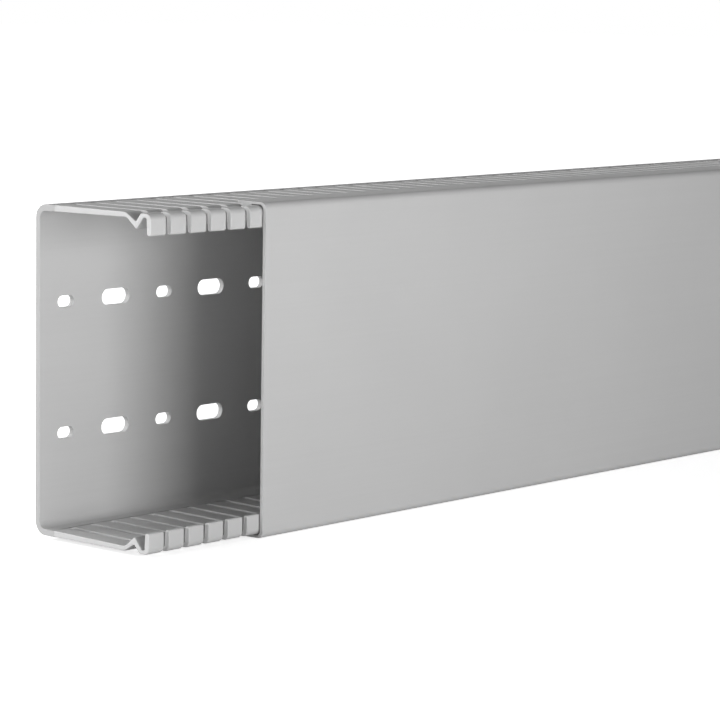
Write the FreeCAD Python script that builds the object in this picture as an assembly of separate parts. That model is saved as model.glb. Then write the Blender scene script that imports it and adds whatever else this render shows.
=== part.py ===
import FreeCAD, Part

import math
import os

from FreeCAD import Vector

# Slotted wire duct: an extruded PVC channel whose side walls are slotted into fingers, and its cover.
# The origin is the middle of the channel's back face. X runs along the duct, Y out of its back, Z across it.

# Channel
duct_length = 1000.0
duct_width = 120.0
channel_depth = 58.2
web_thickness = 2.2
wall_thickness = 2.4
neck_thickness = 1.9
back_radius = 5.0
inner_radius = 2.6

# Slots through both side walls, which leave the fingers between them
slot_pitch = 10.0
slot_width = 2.5
slot_root = 9.5
slot_sides = 3

# Break-off score along the wall, just behind the slots, inside and outside
score_width = 0.9
score_depth = 0.4
score_gap = 0.1

# Finger head: distances back from the channel's front plane, and heights in from the wall's outer plane
bend_back = 12.5
groove_back = 7.5
groove_depth = 3.0
head_back = 5.1
head_chamfer = 1.4
flange_height = 7.8
flange_thickness = 2.0
notch_front = 2.4
notch_back = 3.8
notch_height = 1.6
ridge_back = 7.2
ridge_height = 5.9
neck_back = 12.2

# Two rows of fixing slots in the web, small and large by turns. The mounting screws go in the numbered ones,
# whose ends are true arcs; the ends of the others are flats that stay within a quarter millimetre of one.
row_spacing = 48.0
hole_pitch = 50.0
first_small = 12.8
first_large = 37.8
small_length = 8.0
small_width = 4.4
large_length = 14.0
large_width = 6.0
end_margin = 4.0
hole_sides = 4
small_screws = (0, 19)
large_screws = (0, 5, 14, 19)

# Cover, drawn along the channel to show its open end. Its skirts reach back over the walls' outer faces.
cover_clearance = 0.3
cover_skirt = 1.0
cover_face = 1.5
cover_reach = 12.3
cover_offset = 56.3
hook_tip = 0.6
hook_room = 1.0
hook_lead = 2.8
hook_catch = 0.25

# Planes that several pieces share
left_end = -duct_length / 2
front = -channel_depth
half_width = duct_width / 2


def rounded_wire(corners, x):
    """Closed outline in the plane X = x through (y, z, radius) corners, each rounded by its radius."""
    starts = []
    ends = []
    edges = []
    count = len(corners)
    for i, (y, z, radius) in enumerate(corners):
        corner = Vector(x, y, z)
        before = Vector(x, *corners[i - 1][:2]) - corner
        after = Vector(x, *corners[(i + 1) % count][:2]) - corner
        before.normalize()
        after.normalize()
        half_angle = before.getAngle(after) / 2
        reach = radius / math.tan(half_angle)
        starts.append(corner + before * reach)
        ends.append(corner + after * reach)
        if radius > 0:
            inwards = before + after
            inwards.normalize()
            crown = corner + inwards * (radius / math.sin(half_angle) - radius)
            edges.append(Part.Arc(starts[i], crown, ends[i]).toShape())
    for i in range(count):
        edges.append(Part.LineSegment(ends[i], starts[(i + 1) % count]).toShape())
    return Part.Wire(Part.__sortEdges__(edges))


def extrusion(corners, x, length):
    """Bar of the given length whose section has these (y, height in, radius) corners at both edges."""
    top = [(y, half_width - height, radius) for y, height, radius in corners]
    bottom = [(y, height - half_width, radius) for y, height, radius in reversed(corners)]
    return Part.Face(rounded_wire(top + bottom, x)).extrude(Vector(length, 0, 0))


def half_round(radius, sides):
    """Points (across, along) of a half circle about (0, 0), in equal sides, from one flank to the other."""
    turns = [math.pi * i / sides for i in range(sides + 1)]
    return [(radius * math.cos(turn), radius * math.sin(turn)) for turn in turns]


def prism(points, along):
    """Solid swept from the polygon through the points."""
    return Part.Face(Part.makePolygon(points + points[:1])).extrude(along)


def score(height, inwards):
    """Corners of the break-off score on a wall face at this height, cut towards the inwards side."""
    edge = score_gap - slot_root
    return [
        (edge + score_width, height, 0),
        (edge + score_width / 2, height + inwards * score_depth, 0),
        (edge, height, 0),
    ]


def channel_corners():
    """One side wall of the channel, from its back corner round the finger head to its inner corner."""
    outer = [(0.0, 0.0, back_radius)] + score(0.0, 1) + [
        (front + bend_back, 0.0, 0),
        (front + groove_back, groove_depth, 0),
        (front + head_back, 0.0, 0),
        (front + head_chamfer, 0.0, 0),
        (front, head_chamfer, 0),
    ]
    inner = [
        (front, flange_height, 0),
        (front + flange_thickness, flange_height, 0),
        (front + notch_front, notch_height, 0),
        (front + notch_back, notch_height, 0),
        (front + ridge_back, ridge_height, 0),
        (front + neck_back, neck_thickness, 0),
    ]
    return outer + inner + score(wall_thickness, -1)[::-1] + [(-web_thickness, wall_thickness, inner_radius)]


def finger_slot():
    """Cutter for one slot through both side walls, with its rounded root towards the web."""
    radius = slot_width / 2
    below = -half_width - 1
    root = [Vector(u, v - slot_root - radius, below) for u, v in half_round(radius, slot_sides)]
    mouth = [Vector(-radius, front - 1, below), Vector(radius, front - 1, below)]
    return prism(root + mouth, Vector(0, 0, duct_width + 2))


def fixing_slot(length, width, screwed):
    """Cutter for one slot through the web, long along the duct, with round ends where a screw goes."""
    radius = width / 2
    reach = length / 2 - radius
    edges = []
    for side in (1, -1):
        sides = 2 if screwed else hole_sides
        points = [Vector(side * (reach + v), 1, side * u) for u, v in half_round(radius, sides)]
        if screwed:
            edges.append(Part.Arc(*points).toShape())
        else:
            edges.extend(Part.makePolygon(points).Edges)
        flank = Vector(-side * reach, 1, -side * radius)
        edges.append(Part.LineSegment(points[-1], flank).toShape())
    return Part.Face(Part.Wire(edges)).extrude(Vector(0, -web_thickness - 2, 0))


def places(first, pitch, margin):
    """X of each feature a pitch apart along the duct, ending a margin short of its right end."""
    count = int((duct_length - margin - first) // pitch) + 1
    return [left_end + first + i * pitch for i in range(count)]


def channel():
    slot = finger_slot()
    first_slot = slot_pitch - slot_width / 2
    cutters = [slot.translated(Vector(x, 0, 0)) for x in places(first_slot, slot_pitch, slot_width)]
    small = (small_length, small_width, first_small, small_screws)
    large = (large_length, large_width, first_large, large_screws)
    for length, width, first, screws in (small, large):
        for i, x in enumerate(places(first, hole_pitch, length / 2 + end_margin)):
            hole = fixing_slot(length, width, i in screws)
            cutters.append(hole.translated(Vector(x, 0, row_spacing / 2)))
            cutters.append(hole.translated(Vector(x, 0, -row_spacing / 2)))
    return extrusion(channel_corners(), left_end, duct_length).cut(cutters)


def cover():
    skirt_inner = -cover_clearance
    skirt_outer = skirt_inner - cover_skirt
    hook_height = groove_depth - hook_room
    face = front - cover_clearance
    inside_radius = head_chamfer + cover_clearance
    corners = [
        (face, skirt_inner, inside_radius),
        (front + head_back + hook_catch, skirt_inner, 0),
        (front + groove_back - hook_tip / 2, hook_height, 0),
        (front + groove_back + hook_tip / 2, hook_height, 0),
        (front + groove_back + hook_lead, skirt_inner, 0),
        (front + cover_reach, skirt_inner, 0),
        (front + cover_reach, skirt_outer, 0),
        (face - cover_face, skirt_outer, inside_radius + cover_skirt),
    ]
    return extrusion(corners, left_end + cover_offset, duct_length)


os.makedirs("parts", exist_ok=True)
channel().exportStep("parts/duct_base.step")
cover().exportStep("parts/duct_cover.step")
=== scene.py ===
import math

import bpy
from mathutils import Matrix, Vector


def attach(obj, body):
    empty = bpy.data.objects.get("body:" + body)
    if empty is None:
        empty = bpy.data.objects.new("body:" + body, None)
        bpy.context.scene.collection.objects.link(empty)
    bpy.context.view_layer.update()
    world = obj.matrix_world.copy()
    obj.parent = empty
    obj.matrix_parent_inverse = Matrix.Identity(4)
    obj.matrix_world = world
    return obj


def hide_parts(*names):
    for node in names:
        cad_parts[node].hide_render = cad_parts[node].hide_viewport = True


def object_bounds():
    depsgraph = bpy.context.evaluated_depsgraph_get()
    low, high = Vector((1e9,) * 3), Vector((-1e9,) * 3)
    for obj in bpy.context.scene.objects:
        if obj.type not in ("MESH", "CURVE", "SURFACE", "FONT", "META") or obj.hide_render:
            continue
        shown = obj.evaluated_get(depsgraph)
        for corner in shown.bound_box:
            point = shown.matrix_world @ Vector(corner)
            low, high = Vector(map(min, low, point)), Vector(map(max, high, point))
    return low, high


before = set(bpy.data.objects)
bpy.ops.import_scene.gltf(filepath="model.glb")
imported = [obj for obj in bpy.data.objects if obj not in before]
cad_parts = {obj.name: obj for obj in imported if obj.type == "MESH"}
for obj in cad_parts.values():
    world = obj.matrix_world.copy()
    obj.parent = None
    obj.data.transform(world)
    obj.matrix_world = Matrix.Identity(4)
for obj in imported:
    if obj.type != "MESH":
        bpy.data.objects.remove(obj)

cad_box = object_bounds()


# The slotted channel: one length of light grey rigid PVC. It is extruded as a U, and then the slots are
# punched through its side walls and the fixing slots through its web. What is left between two slots is a
# finger, and its folded head is what the cover snaps over.

duct_length = 1.0
duct_width = 0.12
half_width = duct_width / 2
left_end = -duct_length / 2
front = -0.0582
web_thickness = 0.0022
wall_thickness = 0.0024
neck_thickness = 0.0019
back_radius = 0.005
inner_radius = 0.0026

# Share of the full easing that edges get at the sawn ends and at the fixing slots. The fingers get it all.
sawn_easing = 0.5
hole_easing = 0.23


def rounded(corners):
    """Closed outline through (along, across, radius, steps) corners, each rounded in that many steps."""
    outline = []
    for i, (along, across, radius, steps) in enumerate(corners):
        corner = Vector((along, across))
        if not steps:
            outline.append(corner)
            continue
        before = (Vector(corners[i - 1][:2]) - corner).normalized()
        after = (Vector(corners[(i + 1) % len(corners)][:2]) - corner).normalized()
        half_angle = before.angle(after) / 2
        reach = radius / math.tan(half_angle)
        centre = corner + (before + after).normalized() * (radius / math.sin(half_angle))
        first = corner + before * reach - centre
        last = corner + after * reach - centre
        sweep = math.atan2(first.x * last.y - first.y * last.x, first.dot(last))
        for step in range(steps + 1):
            outline.append(centre + Matrix.Rotation(sweep * step / steps, 2) @ first)
    return outline


def both_edges(corners):
    """Outline of a section that has these (along, height in, radius, steps) corners at both of its edges."""
    top = [(along, half_width - height, radius, steps) for along, height, radius, steps in corners]
    bottom = [(along, height - half_width, radius, steps) for along, height, radius, steps in corners[::-1]]
    return rounded(top + bottom)


def extruded_bar(name, outline, start, length):
    """Closed bar of that section along X, shaded smooth; its two sawn ends are marked as cut."""
    count = len(outline)
    points = [(x, y, z) for x in (start, start + length) for y, z in outline]
    sides = [(i, (i + 1) % count, (i + 1) % count + count, i + count) for i in range(count)]
    ends = [tuple(reversed(range(count))), tuple(range(count, 2 * count))]
    mesh = bpy.data.meshes.new(name)
    mesh.from_pydata(points, [], sides + ends)
    for mark, value in (("cut", 1.0), ("edge_round", sawn_easing)):
        layer = mesh.attributes.new(mark, "FLOAT", "FACE")
        layer.data.foreach_set("value", [0.0] * count + [value, value])
    for polygon in mesh.polygons:
        polygon.use_smooth = True
    bar = bpy.data.objects.new(name, mesh)
    bpy.context.scene.collection.objects.link(bar)
    return bar


# The break-off score runs along both faces of each wall, just behind the slots.
score_back = 0.0085
score_width = 0.0009
score_depth = 0.0004


def score(height, inwards):
    """Corners of the score on a wall face at this height, cut towards the inwards side."""
    return [
        (-score_back, height, 0, 0),
        (-score_back - score_width / 2, height + inwards * score_depth, 0, 0),
        (-score_back - score_width, height, 0, 0),
    ]


# The finger head, measured back from the channel's front and in from the wall's outer face: a groove outside
# for the cover's hook, a ridge inside it, a narrow notch, and a flange turned in along the front.
bend_back = 0.0125
groove_back = 0.0075
groove_depth = 0.0030
head_back = 0.0051
flange_height = 0.0078
flange_thickness = 0.0020
notch_front = 0.0024
notch_back = 0.0038
notch_height = 0.0016
ridge_back = 0.0072
ridge_height = 0.0059
neck_back = 0.0122
wide_bend = 0.0030
front_bend = 0.0024
head_bend = 0.0008
tight_bend = 0.0005
notch_bend = 0.0004

channel_section = both_edges(
    [(0.0, 0.0, back_radius, 8)]
    + score(0.0, 1)
    + [
        (front + bend_back, 0.0, wide_bend, 2),
        (front + groove_back, groove_depth, tight_bend, 2),
        (front + head_back, 0.0, head_bend, 2),
        (front, 0.0, front_bend, 4),
        (front, flange_height, tight_bend, 1),
        (front + flange_thickness, flange_height, tight_bend, 1),
        (front + notch_front, notch_height, notch_bend, 1),
        (front + notch_back, notch_height, notch_bend, 1),
        (front + ridge_back, ridge_height, tight_bend, 2),
        (front + neck_back, neck_thickness, wide_bend, 2),
    ]
    + score(wall_thickness, -1)[::-1]
    + [(-web_thickness, wall_thickness, inner_radius, 4)]
)
channel = extruded_bar("slotted_channel", channel_section, left_end, duct_length)


def add_node(tree, kind, inputs=None, **settings):
    """New node with these properties; each input takes a value or a link from a socket."""
    node = tree.nodes.new(kind)
    for name, value in settings.items():
        setattr(node, name, value)
    for name, value in (inputs or {}).items():
        if isinstance(value, bpy.types.NodeSocket):
            tree.links.new(value, node.inputs[name])
        else:
            node.inputs[name].default_value = value
    return node


def sum_node(tree, operation, *values):
    """Result of one sum on these values or sockets."""
    return add_node(tree, "ShaderNodeMath", dict(enumerate(values)), operation=operation).outputs[0]


def marked(tree, geometry, name, value, domain):
    """That geometry with the value stored on it as an attribute."""
    return add_node(tree, "GeometryNodeStoreNamedAttribute", {
        "Geometry": geometry, "Name": name, "Value": value}, data_type="FLOAT", domain=domain).outputs[0]


def new_tree(name, inputs):
    """Geometry tree with these (name, type) inputs, and the sockets of its inputs and of its one output."""
    tree = bpy.data.node_groups.new(name, "GeometryNodeTree")
    tree.interface.new_socket("Geometry", in_out="OUTPUT", socket_type="NodeSocketGeometry")
    for socket_name, kind in inputs:
        tree.interface.new_socket(socket_name, in_out="INPUT", socket_type="NodeSocket" + kind)
    return tree, tree.nodes.new("NodeGroupInput").outputs, tree.nodes.new("NodeGroupOutput").inputs


# The slots are punched by rows of pins with round ends: each pin is a cylinder pulled apart at its middle.
row_tree, given, made = new_tree("row_of_punches", [
    ("Length", "Float"),
    ("Width", "Float"),
    ("Depth", "Float"),
    ("Sides", "Int"),
    ("Turn", "Vector"),
    ("Start", "Vector"),
    ("Pitch", "Float"),
    ("Count", "Int"),
    ("Edge Round", "Float"),
])
radius = sum_node(row_tree, "MULTIPLY", given["Width"], 0.5)
half_length = sum_node(row_tree, "MULTIPLY", given["Length"], 0.5)
reach = sum_node(row_tree, "SUBTRACT", half_length, radius)
punch = add_node(row_tree, "GeometryNodeMeshCylinder", {
    "Vertices": given["Sides"], "Radius": radius, "Depth": given["Depth"]})
position = add_node(row_tree, "GeometryNodeInputPosition").outputs[0]
across = add_node(row_tree, "ShaderNodeSeparateXYZ", {0: position}).outputs["X"]
side = sum_node(row_tree, "SIGN", across)
shift = sum_node(row_tree, "MULTIPLY", side, reach)
stretched = add_node(row_tree, "GeometryNodeSetPosition", {
    "Geometry": punch.outputs["Mesh"],
    "Offset": add_node(row_tree, "ShaderNodeCombineXYZ", {"X": shift}).outputs[0]})
step = add_node(row_tree, "ShaderNodeCombineXYZ", {"X": given["Pitch"]}).outputs[0]
stops = add_node(row_tree, "GeometryNodeMeshLine", {
    "Count": given["Count"], "Start Location": given["Start"], "Offset": step})
punches = add_node(row_tree, "GeometryNodeInstanceOnPoints", {
    "Points": stops.outputs[0], "Instance": stretched.outputs[0], "Rotation": given["Turn"]})
loose = add_node(row_tree, "GeometryNodeRealizeInstances", {0: punches.outputs[0]}).outputs[0]
cut_row = marked(row_tree, loose, "cut", 1.0, "FACE")
row_tree.links.new(marked(row_tree, cut_row, "edge_round", given["Edge Round"], "FACE"), made[0])

punched_tree, given, made = new_tree("punched_channel", [
    ("Bar", "Geometry"),
    ("Left End", "Float"),
    ("Slot Pitch", "Float"),
    ("Slot Width", "Float"),
    ("Slot Length", "Float"),
    ("First Slot", "Float"),
    ("Slot Count", "Int"),
    ("Slot Middle", "Float"),
    ("Hole Pitch", "Float"),
    ("Holes", "Int"),
    ("Row Height", "Float"),
    ("Small Length", "Float"),
    ("Small Width", "Float"),
    ("First Small", "Float"),
    ("Large Length", "Float"),
    ("Large Width", "Float"),
    ("First Large", "Float"),
    ("Finish", "Material"),
])


def row(first, height, out, **inputs):
    """One row of punches, from its first place on."""
    start = sum_node(punched_tree, "ADD", given["Left End"], first)
    spot = add_node(punched_tree, "ShaderNodeCombineXYZ", {"X": start, "Y": out, "Z": height}).outputs[0]
    names = {name.replace("_", " "): value for name, value in inputs.items()}
    group = add_node(punched_tree, "GeometryNodeGroup", {"Start": spot, **names}, node_tree=row_tree)
    return group.outputs[0]


quarter_turn = math.pi / 2
all_rows = [row(
    given["First Slot"], 0.0, given["Slot Middle"], Length=given["Slot Length"], Width=given["Slot Width"],
    Depth=2 * duct_width, Sides=14, Turn=(0.0, 0.0, quarter_turn), Pitch=given["Slot Pitch"],
    Count=given["Slot Count"], Edge_Round=1.0)]
lower = sum_node(punched_tree, "MULTIPLY", given["Row Height"], -1.0)
for height in (given["Row Height"], lower):
    for size in ("Small", "Large"):
        all_rows.append(row(
            given["First " + size], height, 0.0, Length=given[size + " Length"],
            Width=given[size + " Width"], Depth=4 * web_thickness, Sides=26, Turn=(quarter_turn, 0.0, 0.0),
            Pitch=given["Hole Pitch"], Count=given["Holes"], Edge_Round=hole_easing))
punched = add_node(punched_tree, "GeometryNodeMeshBoolean", {"Mesh 1": given["Bar"]}, operation="DIFFERENCE")
for one_row in all_rows:
    punched_tree.links.new(one_row, punched.inputs["Mesh 2"])


def on_edges(name):
    """Mean over the two faces that meet at an edge."""
    value = add_node(punched_tree, "GeometryNodeInputNamedAttribute", {"Name": name}, data_type="FLOAT")
    mean = add_node(
        punched_tree, "GeometryNodeFieldOnDomain", {0: value.outputs[0]}, domain="EDGE", data_type="FLOAT")
    return mean.outputs[0]


# A rim is an edge between a cut face and one that isn't, where the mean of the two marks is a half.
rim = sum_node(punched_tree, "COMPARE", on_edges("cut"), 0.5, 0.1)
amount = sum_node(punched_tree, "MULTIPLY", on_edges("edge_round"), 2.0)
weight = sum_node(punched_tree, "MULTIPLY", rim, amount)
weighted = marked(punched_tree, punched.outputs[0], "bevel_weight_edge", weight, "EDGE")
realized = add_node(punched_tree, "GeometryNodeRealizeInstances", {0: weighted})
finished = add_node(punched_tree, "GeometryNodeSetMaterial", {
    "Geometry": realized.outputs[0], "Material": given["Finish"]})
punched_tree.links.new(finished.outputs[0], made[0])


def noise(tree, place, scale, detail):
    """Level of a noise with that scale and detail."""
    return add_node(tree, "ShaderNodeTexNoise", {
        "Vector": place, "Scale": scale, "Detail": detail}).outputs["Fac"]


def spread(tree, value, before, after):
    """A value in the range before, moved to the range after."""
    return add_node(tree, "ShaderNodeMapRange", {
        "Value": value, "From Min": before[0], "From Max": before[1],
        "To Min": after[0], "To Max": after[1]}).outputs[0]


def grey_pvc(name, grey, gloss_rough):
    """Satin extruded PVC: even grey, faint die lines along X, duller sawn ends, finger sides paler as
    sheared PVC and with a painted highlight.
    """
    material = bpy.data.materials.new(name)
    material.use_nodes = True
    tree = material.node_tree
    tree.nodes.clear()
    output = tree.nodes.new("ShaderNodeOutputMaterial")
    spot = add_node(tree, "ShaderNodeTexCoord").outputs["Object"]
    along = add_node(tree, "ShaderNodeMapping", {"Vector": spot, "Scale": (3.0, 900.0, 900.0)}).outputs[0]
    lines = noise(tree, along, 1.0, 3.0)
    cloud = noise(tree, spot, 14.0, 3.0)
    grain = noise(tree, spot, 2600.0, 2.0)
    saw = add_node(tree, "ShaderNodeMapping", {"Vector": spot, "Scale": (400.0, 500.0, 4500.0)}).outputs[0]
    tooth = noise(tree, saw, 1.0, 2.0)
    cut = add_node(tree, "ShaderNodeAttribute", attribute_name="cut").outputs["Fac"]
    noise_range = (0.3, 0.7)
    tone = spread(tree, cloud, noise_range, (0.985, 1.015))
    streak = spread(tree, lines, noise_range, (0.99, 1.01))
    easing_share = add_node(tree, "ShaderNodeAttribute", attribute_name="edge_round").outputs["Fac"]
    # Finger sides are paler: partly the whitening of sheared PVC, partly a painted highlight for light on
    # their eased edges.
    sheared_pale_and_painted_highlight = spread(tree, easing_share, (sawn_easing, 1.0), (1.0, 1.25))
    shade = sum_node(tree, "MULTIPLY", tone, streak)
    shade = sum_node(tree, "MULTIPLY", shade, sheared_pale_and_painted_highlight)
    colour = add_node(tree, "ShaderNodeVectorMath", {0: grey, "Scale": shade}, operation="SCALE").outputs[0]
    rough = spread(tree, lines, noise_range, (gloss_rough - 0.04, gloss_rough + 0.04))
    dull = sum_node(tree, "MULTIPLY_ADD", cut, 0.2, rough)
    relief = add_node(tree, "ShaderNodeMix", {0: cut, 2: lines, 3: tooth}, data_type="FLOAT").outputs[0]
    fine = add_node(tree, "ShaderNodeBump", {
        "Height": grain, "Strength": 0.06, "Distance": 0.0001}).outputs[0]
    bump = add_node(tree, "ShaderNodeBump", {
        "Height": relief, "Strength": 0.12, "Distance": 0.0001, "Normal": fine}).outputs[0]
    plastic = add_node(tree, "ShaderNodeBsdfPrincipled", {
        "Base Color": colour, "Roughness": dull, "IOR": 1.53, "Normal": bump})
    tree.links.new(plastic.outputs[0], output.inputs["Surface"])
    return material


def finish_bar(bar, finish, tree_inputs, edge_width, edge_steps):
    """Plain mesh from the bar, once punched, with its cut edges eased and its flat faces shaded flat."""
    if tree_inputs:
        punching = bar.modifiers.new("punching", "NODES")
        punching.node_group = punched_tree
        for item in punched_tree.interface.items_tree:
            if item.in_out == "INPUT" and item.name in tree_inputs:
                punching[item.identifier] = tree_inputs[item.name]
    easing = bar.modifiers.new("easing", "BEVEL")
    easing.width = edge_width
    easing.segments = edge_steps
    easing.limit_method = "WEIGHT"
    easing.use_clamp_overlap = False
    easing.miter_outer = "MITER_SHARP"
    flats = bar.modifiers.new("flats", "WEIGHTED_NORMAL")
    flats.keep_sharp = True
    rough_mesh = bar.data
    graph = bpy.context.evaluated_depsgraph_get()
    mesh = bpy.data.meshes.new_from_object(
        bar.evaluated_get(graph), preserve_all_data_layers=True, depsgraph=graph)
    bar.modifiers.clear()
    bar.data = mesh
    bpy.data.meshes.remove(rough_mesh)
    mesh.materials.clear()
    mesh.materials.append(finish)


# The end was sawn down a slot, whose far side stands a quarter millimetre further in. So the fingers start
# there, and the slot's root leaves a small step at each back corner.
slot_pitch = 0.01
slot_width = 0.0025
end_step = 0.00025
duct_grey = (0.56, 0.56, 0.56)
satin = 0.42

base_pvc = grey_pvc("grey_pvc_base", duct_grey, satin)
finish_bar(channel, base_pvc, {
    "Left End": left_end,
    "Slot Pitch": slot_pitch,
    "Slot Width": slot_width,
    "Slot Length": 0.06,
    "First Slot": -slot_width / 2 + end_step,
    "Slot Count": 100,
    "Slot Middle": -0.0395,
    "Hole Pitch": 0.05,
    "Holes": 20,
    "Row Height": 0.024,
    "Small Length": 0.008,
    "Small Width": 0.0044,
    "First Small": 0.0128,
    "Large Length": 0.014,
    "Large Width": 0.006,
    "First Large": 0.0378,
    "Finish": base_pvc,
}, 0.00045, 2)
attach(channel, "channel")
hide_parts("duct_base")


# The cover: a second extrusion of the same PVC, a flat face with a short skirt along each long edge. A hook
# inside each skirt snaps into the groove behind the finger heads. It is drawn along to show the channel's
# open end.

cover_offset = 0.0563
cover_clearance = 0.0003
cover_face = 0.0015
cover_back = front + 0.0123
skirt_inner = -cover_clearance
skirt_outer = skirt_inner - 0.001
skirt_rim = 0.0003
hook_height = groove_depth - 0.001
hook_rim = 0.0002
cover_section = both_edges([
    (front - cover_clearance, skirt_inner, 0.0017, 5),
    (front + 0.00535, skirt_inner, 0.0, 0),
    (front + 0.0072, hook_height, hook_rim, 1),
    (front + 0.0078, hook_height, hook_rim, 1),
    (front + 0.0103, skirt_inner, 0.0, 0),
    (cover_back, skirt_inner, skirt_rim, 1),
    (cover_back, skirt_outer, skirt_rim, 1),
    (front - cover_clearance - cover_face, skirt_outer, 0.0027, 7),
])
cover = extruded_bar("snap_cover", cover_section, left_end + cover_offset, duct_length)
weights = cover.data.attributes.new("bevel_weight_edge", "FLOAT", "EDGE").data
for edge, weight in zip(cover.data.edges, weights):
    ends = [cover.data.vertices[i].co.x for i in edge.vertices]
    weight.value = sawn_easing if abs(ends[0] - ends[1]) < duct_width else 0.0
cover_pvc = grey_pvc("grey_pvc_cover", duct_grey, satin)
finish_bar(cover, cover_pvc, None, 0.00035, 1)
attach(cover, "cover")
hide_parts("duct_cover")


# The studio: a plain floor that keeps the shadow and a surround, both seen as white. Two soft lamps stand
# behind the duct and shine over it, one low to its left on the sawn ends, a wide one low in front, so that
# the channel darkens inwards, and the weakest on the floor.

floor_height = cad_box[0].z
floor_reach = 6.0
floor_corners = ((-floor_reach, -floor_reach), (floor_reach, -floor_reach),
                 (floor_reach, floor_reach), (-floor_reach, floor_reach))
floor_mesh = bpy.data.meshes.new("floor")
floor_mesh.from_pydata([(x, y, floor_height) for x, y in floor_corners], [], [(0, 1, 2, 3)])
floor = bpy.data.objects.new("floor", floor_mesh)
bpy.context.scene.collection.objects.link(floor)

white = (1.0, 1.0, 1.0, 1.0)
paper = bpy.data.materials.new("white_floor")
paper.use_nodes = True
tree = paper.node_tree
tree.nodes.clear()
spot = add_node(tree, "ShaderNodeTexCoord").outputs["Object"]
away = add_node(tree, "ShaderNodeVectorMath", {0: spot}, operation="LENGTH").outputs["Value"]
paling = spread(tree, away, (0.5, 1.5), (0.7, 1.0))
seen = tree.nodes.new("ShaderNodeLightPath").outputs["Is Camera Ray"]
glow = sum_node(tree, "MULTIPLY", seen, paling)
lit = add_node(tree, "ShaderNodeBsdfDiffuse", {"Color": (0.8, 0.8, 0.8, 1.0)}).outputs[0]
shining = add_node(tree, "ShaderNodeEmission", {"Color": white, "Strength": glow}).outputs[0]
both = add_node(tree, "ShaderNodeAddShader", {0: lit, 1: shining}).outputs[0]
tree.links.new(both, tree.nodes.new("ShaderNodeOutputMaterial").inputs["Surface"])
floor_mesh.materials.append(paper)

surround_light = 0.14
world = bpy.data.worlds.new("surround")
world.use_nodes = True
tree = world.node_tree
tree.nodes.clear()
seen = tree.nodes.new("ShaderNodeLightPath").outputs["Is Camera Ray"]
level = spread(tree, seen, (0.0, 1.0), (surround_light, 1.0))
sky = add_node(tree, "ShaderNodeBackground", {"Color": white, "Strength": level}).outputs[0]
tree.links.new(sky, tree.nodes.new("ShaderNodeOutputWorld").inputs["Surface"])
bpy.context.scene.world = world


def soft_lamp(name, place, target, width, height, power):
    """Soft lamp of that width and height, level and facing the target."""
    light = bpy.data.lights.new(name, "AREA")
    light.shape = "RECTANGLE"
    light.size = width
    light.size_y = height
    light.energy = power
    lamp = bpy.data.objects.new(name, light)
    lamp.location = place
    lamp.rotation_euler = (Vector(target) - Vector(place)).to_track_quat("-Z", "Y").to_euler()
    bpy.context.scene.collection.objects.link(lamp)


open_end = (-0.42, -0.03, 0.0)
soft_lamp("back_lamp", (-0.34, 1.51, 0.72), open_end, 0.7, 0.7, 17.0)
soft_lamp("back_left_lamp", (-1.17, 1.27, 0.80), open_end, 0.7, 0.7, 12.8)
soft_lamp("left_lamp", (-2.10, 0.12, 0.18), open_end, 0.7, 0.7, 11.4)
soft_lamp("front_lamp", (-0.46, -0.73, 0.05), open_end, 0.6, 0.3, 3.6)
soft_lamp("floor_lamp", (-0.79, -0.50, -0.05), (-0.48, -0.11, 0.82), 0.4, 0.4, 1.0)

# The camera stands to the left in front of the open end, a little above the duct and turned to its right.
lens = bpy.data.cameras.new("view")
lens.lens = 151.47
lens.clip_start = 0.1
lens.clip_end = 50.0
camera = bpy.data.objects.new("view", lens)
camera_place = (-1.234504, -0.800573, 0.148032)
heading, tilt, roll = 0.850033, 0.131359, 0.0154509
camera.matrix_world = (
    Matrix.Translation(camera_place)
    @ Matrix.Rotation(-heading, 4, "Z")
    @ Matrix.Rotation(quarter_turn - tilt, 4, "X")
    @ Matrix.Rotation(roll, 4, "Z"))
bpy.context.scene.collection.objects.link(camera)
bpy.context.scene.camera = camera
bpy.context.scene.view_settings.view_transform = "Standard"
